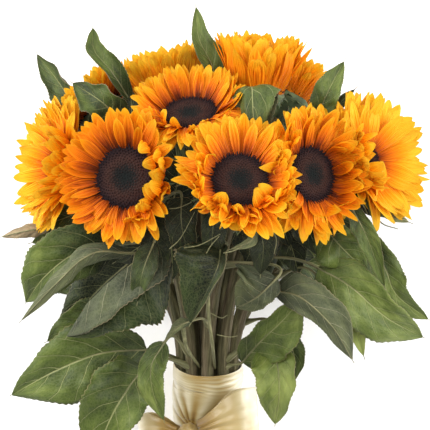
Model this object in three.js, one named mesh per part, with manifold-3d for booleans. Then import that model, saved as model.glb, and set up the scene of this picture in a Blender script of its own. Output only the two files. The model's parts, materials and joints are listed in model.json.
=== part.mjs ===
// A hand-tied bunch of cut sunflowers, lying on its back: thirteen blooms on thick stems, three short leafy
// side stems, the large leaves between them, and a satin ribbon with a bow round the stems.
// Millimetres. +Y runs from the cut stem ends to the blooms and +Z up from the surface the bunch lies on.
// The group is placed so that the origin is under the middle of the bunch, at its lowest point.
import * as THREE from 'three';
import { mergeVertices } from 'three/addons/utils/BufferGeometryUtils.js';
import Module from 'manifold-3d';

const wasm = await Module();
wasm.setup();
const { Manifold, Mesh } = wasm;
const v = (x, y, z) => new THREE.Vector3(x, y, z);

// The handle: the straight stretch where the stems are bound. Its axis rises towards the blooms.
const binding = v(0, 0, 75);
const handleRise = THREE.MathUtils.degToRad(15);
const handleAxis = v(0, Math.cos(handleRise), Math.sin(handleRise));
const handleFront = v(0, -Math.sin(handleRise), Math.cos(handleRise));
const handleLength = 150;
const cutSplay = 1.12;

// The stems: one in the middle, then two rings round it.
const stemRadius = 6.6;
const neckRadius = 5.2;
const neckLength = 55;
const stemPitch = 13.7;
const innerStems = 5;
const outerStems = 10;
const stemSides = 6;
const flatShare = Math.cos(Math.PI / stemSides);
const stemSteps = 5;
const riseShare = 0.42;
const neckShare = 0.35;

// The blooms: radii, and heights from the plane of the petal roots along the way the bloom faces.
const discRadius = 25;
const discDome = 8;
const discEdge = 6;
const throatRadius = 33;
const throatHeight = 3;
const petalThickness = 2.5;
const petalNotch = 0.88;
const rimWave = 3;
const rimWaves = 3;
const calyxRadius = 31;
const calyxEdge = 6;
const calyxNeck = 10.2;
const calyxDepth = 23;
const bloomSegments = 20;

// The leaves: blades that are thickest at the rib and run out to an edge, on stalks rooted on a stem's side.
const bladeThickness = 2.6;
const tipThinning = 0.6;
const leastHalf = 1;
const bladeSteps = 6;
const baseSwell = 0.55;
const tipTaper = 0.85;
const stalkRadius = 2.4;
const stalkReach = 18;
const stalkBend = 0.35;
const stalkSteps = 2;
const routedStalkSteps = 4;
const rootRange = [0.02, 0.95];
const rootSearchStep = 0.01;

// The ribbon: a sleeve round the stems, a knot in front, two flattened loops and two tails.
const sleeveLength = 114;
const sleeveWall = 2.4;
const sleeveTop = 2;
const sleeveSwell = 1;
const ribbonThickness = 2;
const ribbonSteps = 5;

// The clearance that neighbours keep, and how much further a thin edge is cut clear.
const clearance = 0.35;
const edgeClearance = 2;
const mergeTolerance = 1e-4;

const petalFinish = { color: 0xf7a01c, roughness: 0.6, metalness: 0 };
const stemFinish = { color: 0x7b7150, roughness: 0.8, metalness: 0 };
const leafFinish = { color: 0x54703a, roughness: 0.6, metalness: 0 };
const ribbonFinish = { color: 0xe8dcbc, roughness: 0.3, metalness: 0 };

// Each bloom: where its petals root, the way it faces, how far its petals reach out and how far they rise in
// front of their roots, and its stem's place in the handle.
const blooms = [
  { name: 'front_centre', at: [31, 190, 262], faces: [0.05, 0.42, 0.9], reach: 65, cup: 12, slot: 'outer_0' },
  { name: 'front_left', at: [-75, 194, 235], faces: [-0.25, 0.05, 0.97], reach: 66, cup: 12, slot: 'outer_1' },
  { name: 'front_right', at: [98, 197, 225], faces: [0.6, 0.12, 0.78], reach: 66, cup: 14, slot: 'outer_9' },
  { name: 'top_left', at: [-16, 254, 202], faces: [-0.1, 0.78, 0.6], reach: 57, cup: 24, slot: 'inner_0' },
  { name: 'top_right', at: [50, 282, 160], faces: [0.12, 0.95, 0.18], reach: 49, cup: 50, slot: 'inner_4' },
  { name: 'far_left', at: [-150, 211, 148], faces: [-0.75, 0.12, 0.65], reach: 66, cup: 12, slot: 'outer_2' },
  { name: 'far_right', at: [164, 214, 165], faces: [0.7, 0.2, 0.69], reach: 66, cup: 12, slot: 'outer_8' },
  { name: 'back_left', at: [-110, 264, 100], faces: [-0.6, 0.75, -0.2], reach: 56, cup: 22, slot: 'inner_1' },
  { name: 'back_top', at: [-38, 284, 115], faces: [-0.25, 0.95, -0.1], reach: 52, cup: 36, slot: 'middle' },
  { name: 'back_right', at: [80, 280, 88], faces: [0.3, 0.9, -0.25], reach: 48, cup: 34, slot: 'inner_3' },
  { name: 'under_left', at: [-70, 225, 52], faces: [-0.4, 0.6, -0.69], reach: 62, cup: 12, slot: 'outer_4' },
  { name: 'under_right', at: [70, 222, 52], faces: [0.4, 0.6, -0.69], reach: 62, cup: 12, slot: 'outer_6' },
  { name: 'under_top', at: [0, 290, 58], faces: [0, 0.75, -0.66], reach: 60, cup: 14, slot: 'inner_2' },
];

// The leafy side stems end in a plain cut among the leaves.
const sideStems = [
  { name: 'side_left', at: [-72, 120, 95], faces: [-0.6, 0.8, 0], slot: 'outer_3' },
  { name: 'side_right', at: [84, 118, 98], faces: [0.6, 0.8, 0], slot: 'outer_7' },
  { name: 'side_under', at: [-8, 150, 50], faces: [0, 0.95, -0.3], slot: 'outer_5' },
];

// Each leaf: its rib from the blade's base to its tip, the widths left and right of the rib seen with the
// upper face up and the tip ahead, how far each half folds up from flat, and the blade's roll about its rib.
// A stalk roots on the stem nearest the blade's base, or nearest the point it is led through.
const leaves = [
  { name: 'top', rib: [[15, 274, 150], [5, 307, 165], [-8, 334, 168], [-11, 366, 155]],
    halves: [10, 16], folds: [20, 20], roll: -15 },
  { name: 'tall_left', rib: [[-134, 250, 122], [-147, 286, 112], [-177, 326, 90]],
    halves: [20, 18], folds: [35, 35], roll: 35, through: [-128, 215, 116] },
  { name: 'broad_left', rib: [[-81, 248, 165], [-102, 269, 182], [-132, 289, 168]],
    halves: [24, 18], folds: [25, 25], roll: 0 },
  { name: 'bent_left', rib: [[-77, 274, 150], [-94, 301, 162], [-112, 323, 155], [-115, 347, 140]],
    halves: [14, 15], folds: [35, 35], roll: -30 },
  { name: 'folded_over', rib: [[44, 238, 198], [47, 258, 224], [53, 272, 228], [59, 270, 212]],
    halves: [21, 21], folds: [12, 12], roll: 0 },
  { name: 'top_right', rib: [[106, 250, 175], [118, 279, 190], [134, 309, 180]],
    halves: [15, 13], folds: [20, 20], roll: 0 },
  { name: 'far_left_tip', rib: [[-158, 146, 140], [-181, 143, 145], [-207, 137, 135]],
    halves: [8, 8], folds: [30, 30], roll: 180 },
  { name: 'left_serrated', rib: [[-91, 129, 165], [-126, 123, 185], [-159, 99, 175], [-181, 72, 150]],
    halves: [28, 32], folds: [15, 15], roll: 0 },
  { name: 'left_curled', rib: [[-74, 122, 200], [-110, 122, 213], [-145, 93, 200], [-182, 56, 170]],
    halves: [15, 15], folds: [40, 40], roll: 180 },
  { name: 'left_behind', rib: [[-79, 111, 120], [-110, 84, 110], [-155, 37, 90]],
    halves: [30, 32], folds: [10, 10], roll: 0 },
  { name: 'left_twisted', rib: [[-41, 130, 190], [-75, 109, 215], [-110, 77, 208], [-136, 41, 185]],
    halves: [56, 38], folds: [5, 130], roll: 0 },
  { name: 'low_left', rib: [[-62, 21, 115], [-108, 19, 135], [-154, 1, 130], [-202, -27, 100]],
    halves: [44, 34], folds: [12, 12], roll: 0 },
  { name: 'low_front', rib: [[-64, 4, 129], [-79, -15, 142], [-99, -50, 140], [-118, -100, 115]],
    halves: [30, 40], folds: [10, 20], roll: 0 },
  { name: 'hanging_left', rib: [[-42, 32, 150], [-55, 10, 160], [-54, -17, 155], [-44, -47, 140]],
    halves: [15, 14], folds: [20, 20], roll: 0 },
  { name: 'dark_centre', rib: [[-14, 129, 215], [-10, 96, 238], [-16, 54, 215]],
    halves: [34, 24], folds: [60, 25], roll: 0 },
  { name: 'grey_right', rib: [[68, 98, 194], [49, 80, 200], [29, 68, 182]],
    halves: [36, 14], folds: [10, 10], roll: 180 },
  { name: 'big_right', rib: [[109, 107, 178], [139, 90, 190], [177, 58, 175], [217, 36, 140]],
    halves: [24, 32], folds: [20, 15], roll: 0, through: [92, 103, 172] },
  { name: 'far_right', rib: [[160, 144, 130], [180, 105, 135], [194, 77, 120], [229, 51, 95]],
    halves: [16, 26], folds: [15, 15], roll: 0 },
  { name: 'narrow_right', rib: [[138, 169, 205], [155, 135, 208], [173, 90, 188]],
    halves: [11, 11], folds: [20, 20], roll: 0 },
  { name: 'under_front_right', rib: [[113, 149, 180], [131, 128, 190], [159, 102, 170]],
    halves: [20, 26], folds: [15, 15], roll: 0 },
  { name: 'low_right', rib: [[36, 8, 115], [55, 34, 150], [75, 56, 175], [94, 78, 182]],
    halves: [18, 30], folds: [15, 15], roll: 0 },
  { name: 'arching_right', rib: [[66, 84, 168], [90, 80, 205], [120, 53, 205], [147, 15, 170]],
    halves: [14, 28], folds: [15, 15], roll: 180 },
  { name: 'hanging_right', rib: [[56, 27, 130], [72, 8, 150], [72, -22, 150], [70, -53, 125]],
    halves: [20, 30], folds: [15, 15], roll: 0 },
  { name: 'under_left', rib: [[-60, 125, 45], [-105, 105, 32], [-165, 75, 14]],
    halves: [30, 30], folds: [5, 5], roll: 0 },
  { name: 'under_right', rib: [[60, 128, 45], [105, 110, 32], [170, 85, 14]],
    halves: [30, 30], folds: [5, 5], roll: 0 },
];

// The bow: its knot and the middle line of each loop and tail.
const knotAt = v(-19, -66, 97);
const knotSize = v(11, 9, 8);
const knotSegments = [8, 6];
const loops = [
  { name: 'bow_loop_right', line: [[-7, -61, 101], [16, -50, 110], [38, -44, 110], [58, -44, 100]], half: 26 },
  { name: 'bow_loop_left', line: [[-31, -68, 94], [-45, -66, 90], [-59, -69, 82], [-70, -74, 72]], half: 22 },
];
const tails = [
  { name: 'bow_tail_left', line: [[-22, -73, 95], [-32, -105, 82], [-45, -138, 68], [-58, -166, 46]] },
  { name: 'bow_tail_right', line: [[-16, -73, 96], [-2, -110, 91], [9, -142, 86], [20, -170, 62]] },
];
const loopPuff = 8;
const loopSides = 8;
const loopSpan = [0.12, 0.9];
const loopFullness = 0.7;
const tailHalf = 19;
const tailPinch = 0.4;
const tailSides = 4;
const tailOpening = 2;

// A closed solid skinned over rings of points, with a point closing each end.
function skin(rings, startPoint, endPoint) {
  const around = rings[0].length;
  const points = [...rings.flat(), startPoint, endPoint];
  const start = points.length - 2;
  const end = points.length - 1;
  const last = (rings.length - 1) * around;
  const index = [];
  for (let k = 0; k < around; k++) {
    const next = (k + 1) % around;
    index.push(start, next, k);
    index.push(end, last + k, last + next);
    for (let row = 0; row < last; row += around) {
      index.push(row + k, row + next, row + around + k);
      index.push(row + next, row + around + next, row + around + k);
    }
  }
  const geometry = new THREE.BufferGeometry().setFromPoints(points);
  geometry.setIndex(index);
  return geometry;
}

// The directions across a line of points: side is given, or level, at the start point, and turns as little as
// it can both ways from there.
function framesAlong(points, start = 0, firstSide = null) {
  const frames = points.map((point, i) => {
    const before = points[Math.max(i - 1, 0)];
    const after = points[Math.min(i + 1, points.length - 1)];
    return { point, along: after.clone().sub(before).normalize() };
  });
  const carry = (frame, side) => {
    frame.side = side.clone().addScaledVector(frame.along, -side.dot(frame.along)).normalize();
    frame.up = frame.side.clone().cross(frame.along);
  };
  const { along } = frames[start];
  carry(frames[start], firstSide ?? v(along.y, -along.x, 0));
  for (let i = start + 1; i < frames.length; i++) carry(frames[i], frames[i - 1].side);
  for (let i = start - 1; i >= 0; i--) carry(frames[i], frames[i + 1].side);
  return frames;
}

function ringAround(frame, sides, across, upward) {
  return Array.from({ length: sides }, (_, k) => {
    const angle = (k / sides) * 2 * Math.PI;
    return frame.point.clone()
      .addScaledVector(frame.side, across * Math.cos(angle))
      .addScaledVector(frame.up, upward * Math.sin(angle));
  });
}

// A manifold solid of a closed geometry, turned so that its faces point out.
function solidOf(geometry) {
  geometry.deleteAttribute('normal');
  geometry.deleteAttribute('uv');
  const merged = mergeVertices(geometry, mergeTolerance);
  const vertProperties = new Float32Array(merged.attributes.position.array);
  const triVerts = new Uint32Array(merged.index.array);
  const solid = new Manifold(new Mesh({ numProp: 3, vertProperties, triVerts }));
  if (solid.volume() > 0) return solid;
  for (let i = 0; i < triVerts.length; i += 3) {
    [triVerts[i], triVerts[i + 1]] = [triVerts[i + 1], triVerts[i]];
  }
  return new Manifold(new Mesh({ numProp: 3, vertProperties, triVerts }));
}

// ---- stems ----

// A place in the handle's cross-section, from its name: the middle, or a numbered place in a ring.
function slotOffset(slot) {
  const [ring, number] = slot.split('_');
  if (ring === 'middle') return v(0, 0, 0);
  const count = ring === 'inner' ? innerStems : outerStems;
  const radius = ring === 'inner' ? stemPitch : 2 * stemPitch;
  const angle = (Number(number) / count) * 2 * Math.PI;
  return handleFront.clone().multiplyScalar(radius * Math.cos(angle))
    .add(v(-radius * Math.sin(angle), 0, 0));
}

function handlePoint(slot, distance, splay = 1) {
  return binding.clone().addScaledVector(handleAxis, distance).addScaledVector(slotOffset(slot), splay);
}

function stemPath({ at, faces, slot }, depth) {
  const facing = v(...faces).normalize();
  const foot = handlePoint(slot, 0);
  const head = v(...at).addScaledVector(facing, -depth);
  const reach = foot.distanceTo(head);
  return new THREE.CubicBezierCurve3(
    foot,
    foot.clone().addScaledVector(handleAxis, reach * riseShare),
    head.clone().addScaledVector(facing, -Math.min(neckLength, reach * neckShare)),
    head,
  );
}

function stemGeometry(stem, grow) {
  const handle = [
    handlePoint(stem.slot, -handleLength - grow, cutSplay),
    handlePoint(stem.slot, -sleeveLength),
  ];
  const risen = stem.path.getPoints(stemSteps);
  const outward = stem.slot === 'middle' ? null : slotOffset(stem.slot);
  const frames = framesAlong([...handle, ...risen], 0, outward);
  frames.at(-1).point.addScaledVector(frames.at(-1).along, grow);
  const rings = frames.map((frame, i) => {
    const t = Math.max(0, i - handle.length) / (frames.length - 1 - handle.length);
    const radius = THREE.MathUtils.lerp(stemRadius, neckRadius, t) + grow;
    return ringAround(frame, stemSides, radius, radius);
  });
  return skin(rings, frames[0].point, frames.at(-1).point);
}

// ---- blooms ----

// A dish of petals with the seed disc in front and the calyx behind, its rim toothed where petals part.
function bloomGeometry({ at, faces, reach, cup }, grow) {
  const facing = v(...faces).normalize();
  const turn = new THREE.Quaternion().setFromUnitVectors(v(0, 0, 1), facing);
  const place = (radius, height, angle) => v(radius * Math.cos(angle), radius * Math.sin(angle), height)
    .applyQuaternion(turn).add(v(...at));
  const profile = [
    [discRadius, discEdge + grow, false],
    [throatRadius, throatHeight + grow, false],
    [reach + grow, cup + grow, true],
    [reach - 1 + grow, cup - petalThickness - grow, true],
    [calyxRadius + grow, -calyxEdge - grow, false],
    [calyxNeck + grow, -calyxDepth - grow, false],
  ];
  const rings = profile.map(([radius, height, petals]) => Array.from({ length: bloomSegments }, (_, k) => {
    const angle = (k / bloomSegments) * 2 * Math.PI;
    const notch = petals && k % 2 ? petalNotch : 1;
    const wave = petals ? rimWave * Math.sin(rimWaves * angle + at[0]) : 0;
    return place(radius * notch, height + wave, angle);
  }));
  return skin(rings, place(0, discDome + grow, 0), place(0, -calyxDepth - grow, 0));
}

// ---- leaves ----

// The nearest place on a stem's surface, a little lower down than the blade's base, to root a stalk on.
function stalkRoot(target) {
  const [lowest, highest] = rootRange;
  let nearest = { distance: Infinity };
  for (const stem of stems) {
    for (let t = lowest; t <= highest; t += rootSearchStep) {
      const point = stem.path.getPoint(t);
      const distance = point.distanceTo(target);
      if (distance < nearest.distance) nearest = { distance, stem, t };
    }
  }
  const { stem, t } = nearest;
  const lowered = Math.max(lowest, t - stalkReach / stem.path.getLength());
  const centre = stem.path.getPoint(lowered);
  const along = stem.path.getTangent(lowered);
  const out = target.clone().sub(centre);
  out.addScaledVector(along, -out.dot(along)).normalize();
  const surface = THREE.MathUtils.lerp(stemRadius, neckRadius, lowered) * flatShare + clearance;
  return { root: centre.addScaledVector(out, surface), out };
}

// Half the blade's width along the rib, 0 at its base and tip and 1 at its widest.
function bladeShape(t) {
  const widest = baseSwell / (baseSwell + tipTaper);
  return (t / widest) ** baseSwell * ((1 - t) / (1 - widest)) ** tipTaper;
}

function leafGeometry({ rib, halves, folds, roll, through }, grow, edgeGrow) {
  const curve = new THREE.CatmullRomCurve3(rib.map((point) => v(...point)));
  const base = curve.getPoint(0);
  const { root, out } = stalkRoot(through ? v(...through) : base);
  const bend = root.distanceTo(base) * stalkBend;
  const stalk = new THREE.CubicBezierCurve3(
    root,
    root.clone().addScaledVector(out, bend),
    base.clone().addScaledVector(curve.getTangent(0), -bend),
    base,
  );
  const stalkPoints = stalk.getPoints(through ? routedStalkSteps : stalkSteps).slice(0, -1);
  const turn = -THREE.MathUtils.degToRad(roll);
  const frames = framesAlong([...stalkPoints, ...curve.getPoints(bladeSteps)], stalkPoints.length);
  const rings = frames.map((frame, i) => {
    const inStalk = i <= stalkPoints.length;
    const t = inStalk ? 0 : (i - stalkPoints.length) / bladeSteps;
    const side = frame.side.clone().applyAxisAngle(frame.along, turn);
    const up = frame.up.clone().applyAxisAngle(frame.along, turn);
    const thick = (inStalk ? stalkRadius : (bladeThickness / 2) * (1 - tipThinning * t)) + grow;
    const edge = (half, fold, sign) => {
      const tilt = THREE.MathUtils.degToRad(inStalk ? 0 : fold);
      const width = Math.max(half * bladeShape(t), inStalk ? stalkRadius : leastHalf) + edgeGrow;
      return frame.point.clone()
        .addScaledVector(side, sign * width * Math.cos(tilt))
        .addScaledVector(up, width * Math.sin(tilt));
    };
    return [
      edge(halves[1], folds[1], 1),
      frame.point.clone().addScaledVector(up, thick),
      edge(halves[0], folds[0], -1),
      frame.point.clone().addScaledVector(up, -thick),
    ];
  });
  return skin(rings, frames[0].point, frames.at(-1).point);
}

// ---- ribbon ----

function sleeveGeometry(grow) {
  const inner = 2 * stemPitch + stemRadius + clearance;
  const outer = inner + sleeveWall + grow;
  const [top, foot] = [sleeveTop + grow, -sleeveLength - grow];
  const profile = [
    [inner, top], [inner, foot], [outer, foot], [outer + sleeveSwell, foot / 2], [outer, top], [inner, top],
  ].map(([radius, height]) => new THREE.Vector2(radius, height));
  return new THREE.LatheGeometry(profile, 2 * outerStems).rotateX(handleRise).translate(...binding.toArray());
}

function knotGeometry(grow) {
  return new THREE.SphereGeometry(1, ...knotSegments)
    .scale(...knotSize.clone().addScalar(grow).toArray())
    .translate(...knotAt.toArray());
}

function ribbonFrames(line) {
  return framesAlong(new THREE.CatmullRomCurve3(line.map((point) => v(...point))).getPoints(ribbonSteps));
}

function loopGeometry({ line, half }, grow) {
  const frames = ribbonFrames(line);
  const rings = frames.map((frame, i) => {
    const swell = Math.sin(Math.PI * THREE.MathUtils.lerp(...loopSpan, i / ribbonSteps)) ** loopFullness;
    return ringAround(frame, loopSides, half * swell + grow, loopPuff * swell + grow);
  });
  return skin(rings, frames[0].point, frames.at(-1).point);
}

function tailGeometry({ line }, grow) {
  const frames = ribbonFrames(line);
  const rings = frames.map((frame, i) => {
    const half = THREE.MathUtils.lerp(tailHalf * tailPinch, tailHalf, Math.min(1, i / tailOpening));
    return ringAround(frame, tailSides, half + grow, ribbonThickness / 2 + grow);
  });
  return skin(rings, frames[0].point, frames.at(-1).point);
}

// ---- assembly ----

const group = new THREE.Group();
const placed = [];

function boxesMeet(a, b) {
  const [first, second] = [a.boundingBox(), b.boundingBox()];
  return [0, 1, 2].every((k) => first.min[k] < second.max[k] && second.min[k] < first.max[k]);
}

// Adds a solid, cut clear of those placed before it. A cut that severs it leaves the largest piece.
function addPart(name, geometry, cutter, finish) {
  let solid = solidOf(geometry);
  for (const other of placed) {
    if (boxesMeet(solid, other)) solid = solid.subtract(other);
  }
  solid = solid.decompose().reduce((a, b) => (a.volume() > b.volume() ? a : b));
  placed.push(solidOf(cutter));
  const { vertProperties, triVerts } = solid.getMesh();
  const shape = new THREE.BufferGeometry();
  shape.setAttribute('position', new THREE.BufferAttribute(new Float32Array(vertProperties), 3));
  shape.setIndex(new THREE.BufferAttribute(new Uint32Array(triVerts), 1));
  const mesh = new THREE.Mesh(shape, new THREE.MeshStandardMaterial(finish));
  mesh.name = name;
  group.add(mesh);
}

const stems = [
  ...blooms.map((bloom) => ({ ...bloom, path: stemPath(bloom, calyxDepth + clearance) })),
  ...sideStems.map((stem) => ({ ...stem, path: stemPath(stem, 0) })),
];
for (const stem of stems) {
  addPart(`stem_${stem.name}`, stemGeometry(stem, 0), stemGeometry(stem, clearance), stemFinish);
}
addPart('ribbon_wrap', sleeveGeometry(0), sleeveGeometry(clearance), ribbonFinish);
for (const bloom of blooms) {
  addPart(`bloom_${bloom.name}`, bloomGeometry(bloom, 0), bloomGeometry(bloom, clearance), petalFinish);
}
for (const leaf of leaves) {
  const cutter = leafGeometry(leaf, clearance, edgeClearance);
  addPart(`leaf_${leaf.name}`, leafGeometry(leaf, 0, 0), cutter, leafFinish);
}
addPart('bow_knot', knotGeometry(0), knotGeometry(clearance), ribbonFinish);
for (const loop of loops) {
  addPart(loop.name, loopGeometry(loop, 0), loopGeometry(loop, clearance), ribbonFinish);
}
for (const tail of tails) {
  addPart(tail.name, tailGeometry(tail, 0), tailGeometry(tail, clearance), ribbonFinish);
}

const box = new THREE.Box3().setFromObject(group);
const middle = box.getCenter(v(0, 0, 0));
group.position.set(-middle.x, -middle.y, -box.min.z);
group.updateMatrixWorld(true);

export default group;
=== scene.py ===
import json
import math
import random

import bmesh
import bpy
from mathutils import Matrix, Vector, noise

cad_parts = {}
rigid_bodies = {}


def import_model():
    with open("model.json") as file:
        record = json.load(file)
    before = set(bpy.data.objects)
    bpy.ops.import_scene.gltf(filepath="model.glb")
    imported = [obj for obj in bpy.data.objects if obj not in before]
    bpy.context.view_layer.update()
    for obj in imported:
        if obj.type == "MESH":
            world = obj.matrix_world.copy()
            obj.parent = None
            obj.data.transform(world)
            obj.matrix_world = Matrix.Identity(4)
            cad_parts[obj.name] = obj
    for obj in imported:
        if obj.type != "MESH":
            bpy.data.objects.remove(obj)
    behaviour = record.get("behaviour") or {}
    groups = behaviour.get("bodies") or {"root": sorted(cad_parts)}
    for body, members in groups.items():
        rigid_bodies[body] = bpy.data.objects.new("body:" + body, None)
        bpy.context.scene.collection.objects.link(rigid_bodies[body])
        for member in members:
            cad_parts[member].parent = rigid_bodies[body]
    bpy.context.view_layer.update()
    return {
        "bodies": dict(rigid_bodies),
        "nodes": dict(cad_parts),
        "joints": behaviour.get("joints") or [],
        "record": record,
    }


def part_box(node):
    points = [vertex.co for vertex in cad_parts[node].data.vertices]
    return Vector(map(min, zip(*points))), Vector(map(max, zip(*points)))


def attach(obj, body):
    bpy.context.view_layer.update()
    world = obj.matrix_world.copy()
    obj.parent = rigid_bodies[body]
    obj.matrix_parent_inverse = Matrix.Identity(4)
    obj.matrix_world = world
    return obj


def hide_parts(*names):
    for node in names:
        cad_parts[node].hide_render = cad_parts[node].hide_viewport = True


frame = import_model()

chance = random.Random(11)

def linear(code):
    parts = [int(code[i:i + 2], 16) / 255 for i in (0, 2, 4)]
    return [c / 12.92 if c < 0.04045 else ((c + 0.055) / 1.055) ** 2.4 for c in parts] + [1.0]


def addNode(tree, kind, inputs=(), out=0, stops=None, **settings):
    made = tree.nodes.new("ShaderNode" + kind)
    for name, value in settings.items():
        setattr(made, name, value)
    for socket, value in dict(inputs).items():
        if isinstance(value, bpy.types.NodeSocket):
            tree.links.new(value, made.inputs[socket])
        else:
            made.inputs[socket].default_value = value
    if stops:
        elements = made.color_ramp.elements
        while len(elements) < len(stops):
            elements.new(0.5)
        for element, (place, shade) in zip(elements, stops):
            element.position = place
            element.color = linear(shade)
    return made if out is None else made.outputs[out]


def maths(tree, operation, *values):
    return addNode(tree, "Math", dict(enumerate(values)), operation=operation)


def mixed(tree, share, first, second):
    return addNode(tree, "Mix", {0: share, 6: first, 7: second}, out=2, data_type="RGBA")


def ramp(tree, level, stops):
    return addNode(tree, "ValToRGB", {"Fac": level}, stops=stops)


def ranged(tree, value, low, high, top=1.0):
    return addNode(tree, "MapRange", {"Value": value, "From Min": low, "From Max": high, "To Max": top})


def attribute(tree, name):
    return addNode(tree, "Attribute", out=2, attribute_name=name)


def unwrapped(tree):
    return addNode(tree, "UVMap", uv_map="OFBake")


def objectPlace(tree):
    return addNode(tree, "TexCoord", out=3)


def stretched(tree, vector, across, along):
    return addNode(tree, "Mapping", {"Vector": vector, "Scale": (across, along, 1)})


def seededNoise(tree, vector, seed, detail, scale=1.0, roughness=0.5):
    inputs = {"Vector": vector, "W": seed, "Scale": scale, "Detail": detail, "Roughness": roughness}
    return addNode(tree, "TexNoise", inputs, noise_dimensions="4D")


def fineNoise(tree, scale, detail=2.0):
    return addNode(tree, "TexNoise", {"Vector": objectPlace(tree), "Scale": scale, "Detail": detail})


def dress(tree, shader, colour, bump, finish):
    # bump is a height, its strength and its distance in metres
    tree.links.new(colour, shader.inputs["Base Color"])
    if bump:
        inputs = dict(zip(("Height", "Strength", "Distance"), bump))
        tree.links.new(addNode(tree, "Bump", inputs), shader.inputs["Normal"])
    for name, value in finish.items():
        shader.inputs[name].default_value = value


def newMaterial(name):
    material = bpy.data.materials.new(name)
    material.use_nodes = True
    tree = material.node_tree
    return material, tree, tree.nodes["Principled BSDF"]


def sheet(bm, across, along, place, seed=0.0):
    made = bmesh.ops.create_grid(bm, x_segments=across, y_segments=along, size=0.5, calc_uvs=True)
    layer = bm.verts.layers.float["seed"]
    for vert in made["verts"]:
        u, v = vert.co.x + 0.5, vert.co.y + 0.5
        vert.co = place(round(u * across), round(v * along))
        vert[layer] = seed
    return made["verts"]


def newMesh(*extras):
    bm = bmesh.new()
    bm.loops.layers.uv.new("OFBake")
    for name in ("seed", *extras):
        bm.verts.layers.float.new(name)
    return bm


def newPiece(name, bm, materials, nodes=()):
    mesh = bpy.data.meshes.new(name)
    bm.to_mesh(mesh)
    bm.free()
    for material in materials:
        mesh.materials.append(material)
    mesh.shade_smooth()
    piece = bpy.data.objects.new(name, mesh)
    bpy.context.scene.collection.objects.link(piece)
    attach(piece, "root")
    if nodes:
        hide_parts(*nodes)
    return piece


def lineThrough(places, steps):
    points = [Vector(place) for place in places]
    knots = [2 * points[0] - points[1], *points, 2 * points[-1] - points[-2]]
    spans = len(points) - 1
    line = []
    for i in range(steps + 1):
        t = i / steps * spans
        k = min(int(t), spans - 1)
        f = t - k
        a, b, c, d = knots[k:k + 4]
        line.append(0.5 * (2 * b + (c - a) * f + (2 * a - 5 * b + 4 * c - d) * f * f
                           + (3 * b - a - 3 * c + d) * f ** 3))
    return line


def bezier(a, b, c, d, t):
    s = 1 - t
    return a * s ** 3 + b * 3 * s * s * t + c * 3 * s * t * t + d * t ** 3


def framesAlong(points, start=0, firstSide=None):
    last = len(points) - 1
    alongs = [(points[min(i + 1, last)] - points[max(i - 1, 0)]).normalized() for i in range(last + 1)]
    sides = [None] * (last + 1)
    first = firstSide or Vector((alongs[start].y, -alongs[start].x, 0))
    order = [*range(start, last + 1), *range(start - 1, -1, -1)]
    for i in order:
        carried = first if i == start else sides[i - 1 if i > start else i + 1]
        sides[i] = (carried - alongs[i] * carried.dot(alongs[i])).normalized()
    return [(point, along, side, side.cross(along)) for point, along, side in zip(points, alongs, sides)]


def tube(bm, frames, radiusAt, around, seed=0.0):
    def place(i, k):
        point, along, side, up = frames[k]
        angle = 2 * math.pi * i / around
        return point + (side * math.cos(angle) - up * math.sin(angle)) * radiusAt(k / (len(frames) - 1), angle)
    made = sheet(bm, around, len(frames) - 1, place, seed)
    bmesh.ops.remove_doubles(bm, verts=made, dist=1e-6)


def smoothStep(low, high, x):
    t = min(1, max(0, (x - low) / (high - low)))
    return t * t * (3 - 2 * t)

handle = dict(binding=(0, 0, 75), rise=15, length=150, splay=1.12, pitch=13.7, inner=5, outer=10,
              stemRadius=6.6, neckRadius=5.2, neckLength=55, sleeveTop=2, sleeveLength=114)
rise = math.radians(handle["rise"])
handleAxis = Vector((0, math.cos(rise), math.sin(rise)))
handleFront = Vector((0, -math.sin(rise), math.cos(rise)))
low, high = (Vector(corner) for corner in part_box("ribbon_wrap"))
sleeveMiddle = Vector(handle["binding"]) + handleAxis * (handle["sleeveTop"] - handle["sleeveLength"]) / 2
shift = (low + high) / 2 * 1000 - sleeveMiddle


def spot(*point):
    return (Vector(point) + shift) / 1000


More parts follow.
